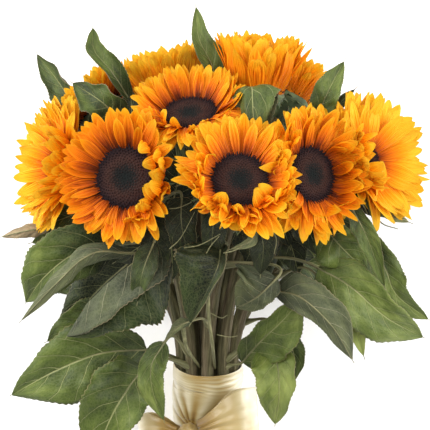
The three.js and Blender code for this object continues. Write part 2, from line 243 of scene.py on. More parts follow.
# Each bloom: where its face is, in mm, which way it faces, how far its petals reach out and forward, its stem's
# place in the handle, its seed disc's radius, the seed of its random draws, how far its petals' tone is raised, partly
# their own yellower hue and partly painted light, and the painted shade on the left side of its petals.
blooms = dict(
    front_centre=dict(at=(31, 190, 262), faces=(0.05, 0.42, 0.9), reach=65, cup=12, slot="outer_0",
                      disc=27.5, seed=301, tintAndPaintedLight=0.03),
    front_left=dict(at=(-75, 194, 235), faces=(-0.25, 0.05, 0.97), reach=66, cup=12, slot="outer_1",
                    disc=30, seed=202, tintAndPaintedLight=-0.05, paintedShade=0.22),
    front_right=dict(at=(98, 197, 225), faces=(0.6, 0.12, 0.78), reach=66, cup=14, slot="outer_9",
                     disc=27.5, seed=103, tintAndPaintedLight=0.03),
    top_left=dict(at=(-16, 254, 202), faces=(-0.1, 0.78, 0.6), reach=57, cup=24, slot="inner_0",
                  disc=28, seed=104, tintAndPaintedLight=0.0),
    top_right=dict(at=(50, 282, 160), faces=(0.08, 0.95, 0.2), reach=41, cup=54, slot="inner_4",
                   disc=26, seed=105, tintAndPaintedLight=-0.03),
    far_left=dict(at=(-143, 208, 148), faces=(-0.82, 0.12, 0.56), reach=70, cup=12, slot="outer_2",
                  disc=20, seed=306, tintAndPaintedLight=0.3),
    far_right=dict(at=(156, 212, 165), faces=(0.6, 0.22, 0.77), reach=70, cup=13, slot="outer_8",
                   disc=16, seed=107, tintAndPaintedLight=0.38),
    back_left=dict(at=(-110, 264, 100), faces=(-0.6, 0.75, -0.2), reach=56, cup=22, slot="inner_1",
                   disc=26, seed=108, tintAndPaintedLight=0.16),
    back_top=dict(at=(-38, 284, 115), faces=(-0.25, 0.95, -0.1), reach=52, cup=36, slot="middle",
                  disc=26, seed=109, tintAndPaintedLight=0.2),
    back_right=dict(at=(80, 280, 88), faces=(0.3, 0.9, -0.25), reach=48, cup=34, slot="inner_3",
                    disc=26, seed=110, tintAndPaintedLight=0.04),
    under_left=dict(at=(-70, 225, 52), faces=(-0.4, 0.6, -0.69), reach=62, cup=12, slot="outer_4",
                    disc=26, seed=111, tintAndPaintedLight=0.05),
    under_right=dict(at=(70, 222, 52), faces=(0.4, 0.6, -0.69), reach=62, cup=12, slot="outer_6",
                     disc=26, seed=112, tintAndPaintedLight=0.05),
    under_top=dict(at=(0, 290, 58), faces=(0, 0.75, -0.66), reach=60, cup=14, slot="inner_2",
                   disc=26, seed=113, tintAndPaintedLight=0.05),
)
sideStems = dict(
    side_left=dict(at=(-72, 120, 95), faces=(-0.6, 0.8, 0), slot="outer_3"),
    side_right=dict(at=(84, 118, 98), faces=(0.6, 0.8, 0), slot="outer_7"),
    side_under=dict(at=(-8, 150, 50), faces=(0, 0.95, -0.3), slot="outer_5"),
)

camera = bpy.data.objects.new("camera", bpy.data.cameras.new("camera"))
bpy.context.scene.collection.objects.link(camera)
bpy.context.scene.camera = camera
cameraLook = dict(at=(8, 159, 1600), sensor=36, lens=121.4, clipEnd=50)
camera.location = spot(*cameraLook["at"])
camera.data.sensor_width = cameraLook["sensor"]
camera.data.lens = cameraLook["lens"]
camera.data.clip_end = cameraLook["clipEnd"]
bpy.context.scene.view_settings.view_transform = "Standard"

studio = dict(
    left=dict(at=(-1.6, 0.6, 1.0), size=1.2, watts=44),
    right=dict(at=(1.6, 0.2, 1.0), size=1.2, watts=38),
    front=dict(at=(-0.2, 0.4, 2.4), size=1.0, watts=20),
    head=dict(at=(0.0, 1.8, 1.0), size=1.2, watts=15),
)
for name, lamp in studio.items():
    light = bpy.data.lights.new("softbox_" + name, "AREA")
    light.size = lamp["size"]
    light.energy = lamp["watts"]
    softbox = bpy.data.objects.new("softbox_" + name, light)
    softbox.location = lamp["at"]
    softbox.rotation_euler = (-Vector(lamp["at"])).to_track_quat("-Z", "Y").to_euler()
    bpy.context.scene.collection.objects.link(softbox)
world = bpy.data.worlds.new("studio")
bpy.context.scene.world = world
world.use_nodes = True
world.node_tree.nodes["Background"].inputs["Color"].default_value = (1, 1, 1, 1)
world.node_tree.nodes["Background"].inputs["Strength"].default_value = 0.55

floorMesh = bmesh.new()
bmesh.ops.create_grid(floorMesh, x_segments=1, y_segments=1, size=4)
floor = bpy.data.objects.new("floor", bpy.data.meshes.new("floor"))
floorMesh.to_mesh(floor.data)
floorMesh.free()
bpy.context.scene.collection.objects.link(floor)
paper, tree, shader = newMaterial("whiteSeamlessPaper")
shader.inputs["Base Color"].default_value = (0.97, 0.97, 0.97, 1)
shader.inputs["Roughness"].default_value = 0.9
floor.data.materials.append(paper)
print("studio ready")

def slotOffset(slot):
    ring, _, number = slot.partition("_")
    if ring == "middle":
        return Vector((0, 0, 0))
    count, radius = (handle["inner"], handle["pitch"]) if ring == "inner" else (handle["outer"], 2 * handle["pitch"])
    angle = 2 * math.pi * int(number) / count
    return handleFront * radius * math.cos(angle) + Vector((-radius * math.sin(angle), 0, 0))


def handlePoint(slot, distance, splay=1.0):
    return Vector(handle["binding"]) + handleAxis * distance + slotOffset(slot) * splay


pathLook = dict(steps=40, neckShare=0.35, handleShare=0.42, calyxDepth=21)


def stemPath(stem, depth):
    facing = Vector(stem["faces"]).normalized()
    foot = handlePoint(stem["slot"], 0)
    head = Vector(stem["at"]) - facing * depth
    reach = (head - foot).length
    turn = min(handle["neckLength"], reach * pathLook["neckShare"])
    upper = foot + handleAxis * reach * pathLook["handleShare"]
    steps = pathLook["steps"]
    return [bezier(foot, upper, head - facing * turn, head, i / steps) for i in range(steps + 1)]


stems = {name: stemPath(stem, pathLook["calyxDepth"]) for name, stem in blooms.items()}
stems.update({name: stemPath(stem, 0) for name, stem in sideStems.items()})
stemLook = dict(around=28, ridges=8, ridgeDepth=0.09, knobbly=0.09, cutInset=1.6)

bark, tree, shader = newMaterial("sunflowerStemSkin")  # a rough green-brown rind with lengthwise fibres and pale hairs
uv, seed = unwrapped(tree), attribute(tree, "seed")
grain = seededNoise(tree, stretched(tree, uv, 20, 14), seed, 6.0, roughness=0.6)
patches = seededNoise(tree, stretched(tree, uv, 3, 5), seed, 3.0)
olive = ramp(tree, grain, [(0.25, "2f2e1a"), (0.48, "535032"), (0.62, "726c49"), (0.8, "9c9470")])
rosy = ramp(tree, grain, [(0.25, "352c1e"), (0.5, "5c5038"), (0.7, "80735a"), (0.85, "a69a7c")])
height = maths(tree, "ADD", grain, fineNoise(tree, 900.0))
dress(tree, shader, mixed(tree, ranged(tree, patches, 0.42, 0.62), olive, rosy), (height, 0.9, 0.0014),
      {"Roughness": 0.72, "IOR": 1.4})

pith, tree, shader = newMaterial("cutStemPith")  # the pale spongy core that a clean cut shows
sponge = addNode(tree, "TexVoronoi", {"Vector": objectPlace(tree), "Scale": 900.0})
dress(tree, shader, ramp(tree, sponge, [(0.0, "b9bd8c"), (0.5, "dcdcb8"), (1.0, "ece8cf")]), (sponge, 0.5, 0.0004),
      {"Roughness": 0.8})


def addStem(bm, name, slot, path):
    handlePart = [handlePoint(slot, -handle["length"] + 0.3, handle["splay"])]
    # the stems fan out only below the ribbon
    bare = handle["length"] - handle["sleeveLength"]
    for d in (140, 128, 114, 95, 76, 57, 38, 19):
        handlePart.append(handlePoint(slot, -d, 1 + 0.12 * max(0, (d - handle["sleeveLength"]) / bare)))
    line = [spot(*p) for p in handlePart + path]
    outward = None if slot == "middle" else slotOffset(slot).normalized()
    frames = framesAlong(line, 0, outward)
    number = chance.random() * 50
    thick = chance.uniform(0.9, 1.04)

    def radiusAt(t, angle):
        plain = handle["stemRadius"] + (handle["neckRadius"] - handle["stemRadius"]) * smoothStep(0.3, 1, t)
        ridge = stemLook["ridgeDepth"] * math.sin(angle * stemLook["ridges"] + number + 2 * math.sin(t * 5 + number))
        where = Vector((math.cos(angle) * 1.3, math.sin(angle) * 1.3, t * 14 + number))
        lump = stemLook["knobbly"] * noise.noise(where)
        return (plain * thick * (1 + ridge * 0.6 + lump) - 0.3) / 1000
    tube(bm, frames, radiusAt, stemLook["around"], number)


def closeEnds(bm):
    edges = [edge for edge in bm.edges if edge.is_boundary]
    caps = bmesh.ops.holes_fill(bm, edges=edges, sides=0)["faces"]
    bmesh.ops.inset_individual(bm, faces=caps, thickness=stemLook["cutInset"] / 1000, depth=-0.0003)
    for face in caps:
        face.material_index = 1
        face.smooth = False


bm = newMesh()
for name, path in stems.items():
    addStem(bm, name, {**blooms, **sideStems}[name]["slot"], path)
closeEnds(bm)
bmesh.ops.recalc_face_normals(bm, faces=bm.faces)
newPiece("stems", bm, [bark, pith], ["stem_" + name for name in stems])
print("stems ready")


def blade(rib, halves, folds, tone, roll=0, **rest):
    return dict(rib=rib, halves=halves, folds=folds, tone=tone, roll=roll, **rest)


# Each leaf: its rib, the widths left and right of it, how far each half folds up, in mm and degrees, and its tone
# from dark 0 to light 1, partly its own green and partly painted light and shade. Some add their roll, how strong
# their veins are, how far their edges curl, how sharp the fold is, how dry they are, how deep the painted shade at
# their base is, and a point that their stalk passes.
leaves = dict(
    top=blade([(15, 274, 150), (5, 307, 165), (-8, 334, 168), (-11, 366, 155)],
              (10, 16), (20, 20), 0.55, roll=-15, veins=1.3),
    tall_left=blade([(-134, 250, 122), (-147, 286, 112), (-177, 326, 90)],
                    (20, 18), (35, 35), 0.35, roll=35, through=(-128, 215, 116)),
    broad_left=blade([(-81, 248, 165), (-102, 269, 182), (-132, 289, 168)], (24, 18), (25, 25), 0.35),
    bent_left=blade([(-77, 274, 150), (-94, 301, 162), (-112, 323, 155), (-115, 347, 140)],
                    (14, 15), (35, 35), 0.5, roll=-30),
    folded_over=blade([(46, 236, 196), (45, 258, 200), (43, 281, 212), (43, 275, 230), (44, 250, 238), (47, 224, 234)],
                      (27, 22), (-14, -42), 0.4, roll=180, curl=0, shade=0),
    top_right=blade([(106, 250, 175), (118, 279, 190), (134, 309, 180)], (15, 13), (20, 20), 0.55),
    far_left_tip=blade([(-158, 146, 140), (-181, 143, 145), (-207, 137, 135)],
                       (8, 8), (30, 30), 0.6, roll=180, dry=0.9, shade=0),
    left_serrated=blade([(-91, 129, 165), (-126, 123, 185), (-159, 99, 175), (-181, 72, 150)],
                        (28, 32), (15, 15), 0.55, shade=0.6),
    left_curled=blade([(-74, 122, 200), (-110, 122, 213), (-145, 93, 200), (-182, 56, 170)],
                      (15, 15), (40, 40), 0.45, roll=180, curl=80, veins=1.5),
    left_behind=blade([(-79, 111, 120), (-110, 84, 110), (-155, 37, 90)], (30, 32), (10, 10), 0.05, veins=0.4),
    left_twisted=blade([(-41, 130, 190), (-75, 109, 215), (-110, 77, 208), (-136, 41, 185)],
                       (56, 38), (5, 130), 0.27, sharp=0.12, veins=0.5, curl=0),
    low_left=blade([(-62, 21, 115), (-108, 19, 135), (-154, 1, 130), (-202, -27, 100)], (44, 34), (12, 12), 0.52),
    low_front=blade([(-64, 4, 129), (-79, -15, 142), (-99, -50, 140), (-118, -100, 115)], (30, 40), (10, 20), 0.56),
    hanging_left=blade([(-42, 32, 150), (-55, 10, 160), (-54, -17, 155), (-44, -47, 140)], (15, 14), (20, 20), 0.65),
    dark_centre=blade([(14, 131, 214), (9, 106, 237), (-15, 56, 216)], (13, 42), (68, 10), 0.15, curl=0, veins=0.15),
    grey_right=blade([(68, 98, 194), (49, 80, 200), (29, 68, 182)], (36, 14), (10, 10), 0.4, roll=180),
    big_right=blade([(109, 107, 178), (139, 90, 190), (177, 58, 175), (217, 36, 140)],
                    (24, 32), (20, 15), 0.68, through=(92, 103, 172)),
    far_right=blade([(160, 144, 130), (180, 105, 135), (194, 77, 120), (229, 51, 95)], (16, 26), (15, 15), 0.6),
    narrow_right=blade([(138, 169, 205), (155, 135, 208), (173, 90, 188)], (11, 11), (20, 20), 0.55),
    under_front_right=blade([(113, 149, 180), (131, 128, 190), (159, 102, 170)], (20, 26), (15, 15), 0.5),
    low_right=blade([(36, 8, 115), (55, 34, 150), (75, 56, 175), (94, 78, 182)], (18, 30), (15, 15), 0.62),
    arching_right=blade([(66, 84, 168), (90, 80, 205), (120, 53, 205), (143, 17, 172)],
                        (15, 24), (15, 15), 0.4, roll=180),
    hanging_right=blade([(60, 30, 130), (70, 10, 150), (72, -22, 152), (69, -53, 128)], (19, 27), (28, 15), 0.78),
    under_left=blade([(-60, 125, 45), (-105, 105, 32), (-165, 75, 14)], (30, 30), (5, 5), 0.3),
    under_right=blade([(60, 128, 45), (105, 110, 32), (170, 85, 14)], (30, 30), (5, 5), 0.3),
)
# Small leaves among the large ones, and near-black ones that fill the bunch as painted shade for its dark inside.
sprigs = dict(
    frilled=blade([(-140, 138, 120), (-158, 137, 128), (-178, 131, 125)], (11, 12), (15, 15), 0.5),
    tucked=blade([(-95, 62, 95), (-130, 48, 100), (-166, 28, 95)], (14, 22), (15, 15), 0.45),
    rolled=blade([(-16, 54, 165), (-27, 50, 172), (-41, 36, 166)], (9, 9), (60, 60), 0.6, roll=180),
    flap=blade([(-50, 133, 224), (-60, 106, 234), (-65.5, 77, 226)], (12, 13), (25, 25), 0.25, veins=0.3),
    curled_bract=blade([(46, 145, 230), (41, 134, 238), (24, 127, 234)], (5, 6), (35, 35), 0.6, roll=180),
    bright_tip=blade([(112, 96, 164), (140, 62, 176), (155, 20, 166)], (13, 12), (12, 12), 0.95),
    under_front_left=blade([(-104, 172, 168), (-86, 152, 178), (-62, 132, 172)], (17, 17), (10, 10), 0.1),
    cup_back=blade([(166, 170, 150), (182, 160, 160), (201, 152, 154)], (8, 8), (40, 40), 0.85, roll=180),
    dark_far=blade([(142, 192, 148), (162, 182, 156), (186, 168, 148)], (15, 15), (10, 10), 0.0),
    edge_dark=blade([(122, 254, 158), (132, 270, 162), (147, 284, 158)], (6, 6), (30, 30), 0.2),
    round_dark=blade([(50, 126, 112), (80, 122, 120), (110, 116, 110)], (16, 20), (12, 12), 0.15),
    shaded=blade([(70, 45, 105), (88, 20, 112), (90, -12, 105)], (13, 13), (12, 12), 0.4),
    inner_left=blade([(-30, 152, 130), (-60, 132, 148), (-92, 112, 136)], (22, 22), (10, 10), 0.0),
    inner_right=blade([(70, 150, 140), (84, 128, 150), (92, 100, 140)], (18, 18), (12, 12), 0.05),
    under_bloom_left=blade([(-62, 165, 205), (-50, 142, 214), (-40, 108, 205)], (17, 18), (15, 15), 0.0, veins=0.3),
    under_bloom_middle=blade([(-24, 176, 205), (-24, 150, 214), (-16, 112, 204)], (18, 18), (15, 15), 0.0, veins=0.3),
    under_bloom_centre=blade([(6, 172, 215), (6, 146, 222), (2, 112, 212)], (16, 12), (15, 15), 0.02, veins=0.3),
    under_bloom_right=blade([(44, 158, 205), (54, 132, 212), (52, 102, 200)], (15, 17), (15, 15), 0.02, veins=0.3),
    behind_left=blade([(-40, 180, 150), (-36, 140, 160), (-34, 95, 150)], (24, 24), (8, 8), 0.0),
    behind_middle=blade([(0, 175, 130), (2, 130, 140), (4, 80, 130)], (24, 24), (8, 8), 0.0),
    behind_right=blade([(40, 175, 150), (50, 130, 158), (56, 85, 150)], (24, 24), (8, 8), 0.0),
    between_blooms=blade([(-34, 170, 160), (-28, 200, 178), (-32, 232, 172)], (20, 20), (8, 8), 0.0),
    filler_low=blade([(80, 174, 165), (97, 150, 172), (112, 118, 165)], (18, 18), (10, 10), 0.1),
    filler_left=blade([(-108, 172, 150), (-132, 160, 155), (-158, 150, 150)], (17, 17), (10, 10), 0.3),
    filler_right=blade([(116, 178, 168), (130, 156, 178), (152, 126, 170)], (18, 20), (10, 10), 0.25),
    filler_far=blade([(136, 196, 148), (152, 178, 158), (168, 158, 150)], (16, 16), (10, 10), 0.0),
    between_top=blade([(10, 205, 160), (18, 232, 176), (24, 264, 166)], (18, 18), (8, 8), 0.0),
    between_low=blade([(50, 188, 160), (70, 160, 168), (82, 128, 158)], (20, 20), (8, 8), 0.0),
    between_right=blade([(70, 200, 150), (74, 230, 170), (80, 262, 168)], (14, 14), (8, 8), 0.05),
    between_left=blade([(-66, 205, 140), (-74, 240, 156), (-76, 284, 150)], (24, 20), (8, 8), 0.05),
)
# shade: how deep the painted shade at a leaf's base usually is
leafLook = dict(across=16, along=54, toothDepth=0.06, wave=4.5, puff=2.6, crumple=6.0, thickness=0.4, stalkSteps=16,
                stalkFoot=4.2, stalkTop=1.5, stalkDrop=24, ribEnd=0.4, hair=5.0, shade=0.3, veinPairs=6,
                veinSweep=0.28)
leafLayers = ("tone", "dry", "veins", "shade")


def stalkRoot(target):
    best = min(((point - target).length, name, i) for name, path in stems.items() for i, point in enumerate(path[1:-2]))
    name, i = best[1], best[2] + 1
    path = stems[name]
    length = sum((b - a).length for a, b in zip(path, path[1:]))
    lowered = max(1, i - round(leafLook["stalkDrop"] / length * pathLook["steps"]))
    along = (path[lowered + 1] - path[lowered - 1]).normalized()
    out = target - path[lowered]
    out = (out - along * out.dot(along)).normalized()
    return path[lowered] + out * 1.5, (out * 0.8 + along * 0.6).normalized()


def halfProfile(fold, curl, sharp, steps):
    # how far out and up each column lies, for a half as wide as 1
    flat, rises, x, z = [0.0], [0.0], 0.0, 0.0
    for k in range(steps):
        d = (k + 0.5) / steps
        angle = math.radians(fold * smoothStep(0, sharp, d) + curl * smoothStep(0.55, 1, d))
        x += math.cos(angle) / steps
        z += math.sin(angle) / steps
        flat.append(x)
        rises.append(z)
    return flat, rises


def bladeWidth(t):
    swell, taper = 0.55, 0.85
    widest = swell / (swell + taper)
    body = (t / widest) ** swell * ((1 - t) / (1 - widest)) ** taper
    return max(body, 0.03)


def addLeaf(bm, stalks, leaf, number):
    across, along, steps = leafLook["across"], leafLook["along"], leafLook["stalkSteps"]
    line = lineThrough(leaf["rib"], along)
    root, out = stalkRoot(Vector(leaf.get("through", leaf["rib"][0])))
    bend = (line[0] - root).length * 0.4
    forward = (line[1] - line[0]).normalized()
    stalk = [bezier(root, root + out * bend, line[0] - forward * bend, line[0], i / steps) for i in range(steps)]
    c, s = math.cos(math.radians(leaf["roll"])), math.sin(math.radians(leaf["roll"]))
    frames = framesAlong(stalk + line, steps)
    turned = [(p, ahead, side * c + up * s, up * c - side * s) for p, ahead, side, up in frames]
    ribFrames = turned[steps:]
    half = across // 2
    curl = leaf.get("curl", chance.uniform(-30, 30))
    profiles = {sign: halfProfile(fold * 1.15, curl + chance.uniform(-15, 15), leaf.get("sharp", 0.7), half)
                for sign, fold in zip((-1, 1), leaf["folds"])}
    teeth = [chance.uniform(0.3, 1) * leafLook["toothDepth"] if k % 2 else 0 for k in range(2 * along + 2)]
    sway = chance.uniform(0, 6)

    def place(i, k):
        point, ahead, side, up = ribFrames[k]
        sign = -1 if i < half else 1
        n = abs(i - half)
        d, t = n / half, k / along
        flat, rises = profiles[sign]
        uneven = 1 + 0.08 * math.sin(t * 10 + sway * 3 + sign) + 0.03 * math.sin(t * 29 + sway)
        width = leaf["halves"][0 if sign < 0 else 1] * bladeWidth(t) * uneven
        trim = 1 - (teeth[k + (along if sign > 0 else 0)] if n == half and 2 < k < along - 1 else 0)
        vein = (t - leafLook["veinSweep"] * d) * leafLook["veinPairs"] + (0.5 if sign < 0 else 0)
        middle = math.sin(math.pi * t) * width / 30
        puff = leafLook["puff"] * abs(math.sin(math.pi * vein)) ** 0.7 * math.sin(math.pi * min(1, d * 1.05)) * middle
        wave = leafLook["wave"] * d * d * math.sin(sway + sign + t * 13 + 2.2 * math.sin(t * 5 + sway)) * middle
        creased = leafLook["crumple"] * middle * d ** 0.5 * noise.noise(Vector((sign * d * 1.6, t * 5, sway * 9)))
        lift = puff + wave + creased - 0.5 * (1 - d) ** 4
        slope = math.atan2(rises[n] - rises[n - 1], flat[n] - flat[n - 1]) if n else 0.0
        outAt = flat[n] * width * trim - lift * math.sin(slope)
        return spot(*(point + side * sign * outAt + up * (rises[n] * width * trim + lift * math.cos(slope))))
    layers = bm.verts.layers.float
    for vert in sheet(bm, across, along, place, number):
        for name, usual in zip(leafLayers, (leaf["tone"], 0, 1, leafLook["shade"])):
            vert[layers[name]] = leaf.get(name, usual)

    last = len(turned) - 1
    under = [spot(*(p - up * min(1.1, 1.1 * i / steps))) for i, (p, ahead, side, up) in enumerate(turned)]
    under.append(under[-1] + turned[-1][1] * leafLook["hair"] / 1000)
    share = steps / last
    foot, top, end = leafLook["stalkFoot"], leafLook["stalkTop"], leafLook["ribEnd"]

    def radiusAt(t, angle):
        if t < share:
            return (foot + (top - foot) * smoothStep(0, 0.45, t / share)) / 1000
        return max(0.15, top + (end - top) * ((t - share) / (0.95 - share)) ** 0.5) / 1000
    tube(stalks, framesAlong(under), radiusAt, 8, number)


def shared(tree, source, factor, colour, other):
    return mixed(tree, maths(tree, "MULTIPLY", source, factor), colour, linear(other))


def leafMaterial(name, palette, roughness, veinLift):
    material, tree, shader = newMaterial(name)
    uv = unwrapped(tree)
    seed, tone, dry, strong, shade = (attribute(tree, layer) for layer in ("seed", *leafLayers))
    split = addNode(tree, "SeparateXYZ", {0: uv}, out=None)
    u, v = split.outputs[0], split.outputs[1]
    d = maths(tree, "MULTIPLY", maths(tree, "ABSOLUTE", maths(tree, "SUBTRACT", u, 0.5)), 2.0)
    wobble = seededNoise(tree, uv, seed, 3.0, scale=4.0)
    swept = maths(tree, "MULTIPLY_ADD", wobble, 0.07, maths(tree, "MULTIPLY_ADD", d, -leafLook["veinSweep"], v))
    half = maths(tree, "MULTIPLY_ADD", maths(tree, "LESS_THAN", u, 0.5), 0.5, 0.5)
    cycle = maths(tree, "MULTIPLY_ADD", swept, leafLook["veinPairs"], half)
    nearest = maths(tree, "ABSOLUTE", maths(tree, "SUBTRACT", maths(tree, "FRACT", cycle), 0.5))
    sideVein = ranged(tree, nearest, maths(tree, "MULTIPLY_ADD", d, -0.03, 0.045), 0.005, 0.85)
    midrib = ranged(tree, d, 0.036, 0.01)
    vein = maths(tree, "MULTIPLY", maths(tree, "MAXIMUM", sideVein, midrib), strong)
    net = addNode(tree, "TexVoronoi", {"Vector": stretched(tree, uv, 24, 44), "W": seed, "Scale": 1.0},
                  voronoi_dimensions="4D", feature="DISTANCE_TO_EDGE")
    mottle = seededNoise(tree, uv, seed, 6.0, scale=3.0, roughness=0.65)
    # painted shade: each leaf darkens towards its base, by its shade amount
    paintedBaseShade = maths(tree, "MULTIPLY_ADD", ranged(tree, v, 0.55, 0.0), shade, 0.65)
    level = maths(tree, "SUBTRACT", maths(tree, "MULTIPLY_ADD", mottle, 1.3, tone), paintedBaseShade)
    green = ramp(tree, level, list(zip((0.0, 0.3, 0.6, 1.0), palette["green"])))
    body = mixed(tree, dry, green, ramp(tree, mottle, [(0.3, "6d5b41"), (0.7, "b09a78")]))
    body = shared(tree, ranged(tree, net, 0.14, 0.0), palette["net"], body, palette["vein"])
    body = shared(tree, vein, palette["veinShare"], body, palette["vein"])
    body = shared(tree, ranged(tree, d, 0.972, 0.992), 0.45, body, palette["rim"])
    height = maths(tree, "MULTIPLY_ADD", vein, veinLift, maths(tree, "MULTIPLY", net, 0.6))
    height = maths(tree, "MULTIPLY_ADD", fineNoise(tree, 700.0, 3.0), 0.35, height)
    dress(tree, shader, body, (height, 0.8, 0.0012), {"Roughness": roughness, "Specular IOR Level": 0.22})
    return material


# a satin upper face, quilted between sunken veins
leafFace = leafMaterial("sunflowerLeafFace", dict(
    green=("0f170a", "293613", "4e5c24", "858f48"), vein="9c9d6a", veinShare=0.7, net=0.1, rim="83764f"), 0.48, -0.7)
# a paler, greyer underside with raised, light veins and fine down
leafBack = leafMaterial("sunflowerLeafBack", dict(
    green=("23281c", "434931", "636844", "8a8c5c"), vein="b0ad8c", veinShare=0.75, net=0.07, rim="a08c6c"), 0.65, 1.2)
leafRim, tree, shader = newMaterial("sunflowerLeafEdge")  # the dry reddish edge
dress(tree, shader, ramp(tree, fineNoise(tree, 60.0), [(0.35, "574a33"), (0.65, "837a55")]), None, {"Roughness": 0.7})
stalkSkin, tree, shader = newMaterial("leafStalkSkin")  # pale green, flushed with red, and downy
grain = seededNoise(tree, stretched(tree, unwrapped(tree), 8, 12), attribute(tree, "seed"), 4.0)
dress(tree, shader, ramp(tree, grain, [(0.3, "474328"), (0.5, "6b6a44"), (0.7, "918b64")]), (grain, 0.5, 0.0006),
      {"Roughness": 0.65})


def thicken(piece):
    wall = piece.modifiers.new("blade", "SOLIDIFY")
    wall.thickness = leafLook["thickness"] / 1000
    wall.offset = -1
    wall.material_offset = 1
    wall.material_offset_rim = 2


# Bare stalks left among the stems, and dry bracts that hang in the dark: their course and radius in mm.
strands = (
    ([(1, 92, 212), (2, 60, 192), (6, 26, 158), (8, 0, 98)], 2.0),
    ([(1, 74, 202), (-4, 80, 207), (-7, 86, 208)], 1.2),
    ([(4, 64, 198), (14, 60, 205), (20, 63, 206)], 0.5),
    ([(10, 42, 182), (22, 40, 186), (30, 41, 184)], 0.45),
    ([(-24, 50, 160), (-20, 26, 150), (-8, 2, 100)], 2.2),
    ([(-21, 128, 232), (-6, 131, 236), (13, 141, 236)], 0.6),
    ([(-1, 121, 232), (4, 130, 236), (12, 139, 236)], 0.5),
    ([(16, 123, 234), (27, 126, 238), (38, 132, 236)], 0.6),
    ([(-35, 127, 232), (-24, 138, 236), (-11, 162, 236)], 0.5),
    ([(-35, 165, 230), (-26, 166, 234), (-14, 171, 234)], 0.5),
    ([(-30, 186, 225), (-22, 188, 228), (-12, 186, 228)], 0.5),
    ([(60, 148, 228), (66, 136, 230), (64, 122, 226)], 0.6),
    ([(165, 166, 150), (174, 151, 156), (190, 145, 158)], 0.7),
    ([(172, 168, 156), (182, 158, 162), (198, 155, 162)], 0.6),
    ([(150, 186, 170), (166, 172, 174), (186, 160, 168)], 0.7),
    ([(142, 180, 176), (152, 170, 180), (158, 160, 176)], 0.7),
    ([(160, 180, 168), (178, 170, 172), (196, 166, 166)], 0.7),
)
stalks = newMesh()
for line, thick in strands:
    path = [spot(*p) for p in lineThrough(line, 20)]
    tube(stalks, framesAlong(path), lambda t, angle: thick * (1.15 - 0.5 * t) / 1000, 7, chance.uniform(0, 9))
for number, (name, leaf) in enumerate(leaves.items()):
    bm = newMesh(*leafLayers)
    addLeaf(bm, stalks, leaf, number * 3.7)
    thicken(newPiece("leaf_blade_" + name, bm, [leafFace, leafBack, leafRim], ["leaf_" + name]))
bm = newMesh(*leafLayers)
for number, leaf in enumerate(sprigs.values()):
    addLeaf(bm, stalks, leaf, 200 + number * 3.7)
thicken(newPiece("small_leaves", bm, [leafFace, leafBack, leafRim]))
newPiece("leaf_stalks", stalks, [stalkSkin])
print("leaves ready")


# Rows of petals from the back to the front: how many, their length against a full one, width, lean in front of
# the dish, and where they root, in mm and degrees.
petalRows = (
    dict(count=38, longer=1.04, width=12.5, lean=-4, root=24.0, rise=-0.6),
    dict(count=38, longer=1.0, width=12.0, lean=2, root=24.5, rise=0.6),
    dict(count=34, longer=0.95, width=11.0, lean=8, root=24.5, rise=1.8),
    dict(count=12, longer=0.8, width=10.0, lean=16, root=24.5, rise=3.0),
)
# A half-closed bloom seen from outside has more rows, rooted lower on its cup like scales.
scaleRows = (
    dict(count=34, longer=0.9, width=11.5, lean=3, root=27.5, rise=-6),
    dict(count=32, longer=0.75, width=11.0, lean=3, root=27, rise=-13),
    dict(count=28, longer=0.6, width=10.5, lean=6, root=25, rise=-19),
    dict(count=24, longer=0.5, width=10.0, lean=2, root=21, rise=-25),
)
scaly = ("top_right", "back_right", "back_top")
petalLook = dict(across=8, along=12, pleat=0.85, hollow=1.0, widest=0.5)
# The ways a petal can lie besides straight: the painted light its pose earns it (below 0, painted shade), its bend
# in degrees, where along it the bend starts and ends, its length against a straight one, its twist and the ripple of
# its edges in mm.
petalWays = dict(
    straight=dict(paintedLight=0.0, bend=(-22, 42), start=0.3, end=1.0, longer=1.0, wider=1.0, twist=0.32, ripple=0.4),
    crumpled=dict(paintedLight=0.04, bend=(-80, 120), start=0.2, end=0.8, longer=0.8, wider=1.3, twist=1.3, ripple=1.8),
    short=dict(paintedLight=0.0, bend=(-10, 75), start=0.3, end=1.0, longer=0.76, wider=1.0, twist=0.4, ripple=0.6),
    tucked=dict(paintedLight=0.12, bend=(65, 165), start=0.1, end=0.75, longer=0.66, wider=1.2, twist=0.55, ripple=1.0),
    drooping=dict(paintedLight=0.0, bend=(-70, -25), start=0.1, end=0.9, longer=1.0, wider=1.0, twist=0.4, ripple=0.8),
    cupped=dict(paintedLight=0.12, bend=(70, 140), start=0.1, end=0.9, longer=0.8, wider=1.35, twist=0.4, ripple=0.5),
    leaning=dict(paintedLight=-0.16, bend=(25, 72), start=0.0, end=0.6, longer=0.95, wider=1.1, twist=0.3, ripple=0.5),
    missing=dict(longer=0),
)
# Where the petals of a bloom are unruly: the middle and half width of the stretch in degrees, anticlockwise from
# the right, the way they lie there, and the share of them that do.
unruly = dict(
    front_centre=((5, 38, "short", 1.0), (180, 48, "short", 0.5), (270, 75, "tucked", 0.12),
                  (270, 75, "crumpled", 0.72), (180, 35, "tucked", 0.35), (185, 50, "crumpled", 0.4),
                  (340, 40, "crumpled", 0.5)),
    front_left=((8, 48, "missing", 0.5), (8, 50, "cupped", 0.6), (5, 55, "short", 0.8), (305, 35, "crumpled", 0.5),
                (265, 50, "drooping", 0.35)),
    front_right=((0, 50, "missing", 0.2), (0, 50, "leaning", 0.8), (335, 50, "crumpled", 0.4),
                 (265, 45, "drooping", 0.5), (180, 45, "short", 0.9)),
    top_left=((285, 60, "drooping", 0.75), (235, 60, "crumpled", 0.4), (200, 40, "drooping", 0.4)),
    far_right=((190, 52, "leaning", 0.95), (255, 45, "tucked", 0.6), (225, 60, "crumpled", 0.4),
               (40, 70, "crumpled", 0.05)),
    far_left=((350, 65, "leaning", 0.75), (0, 360, "crumpled", 0.06)),
    top_right=((0, 360, "tucked", 0.08),),
)


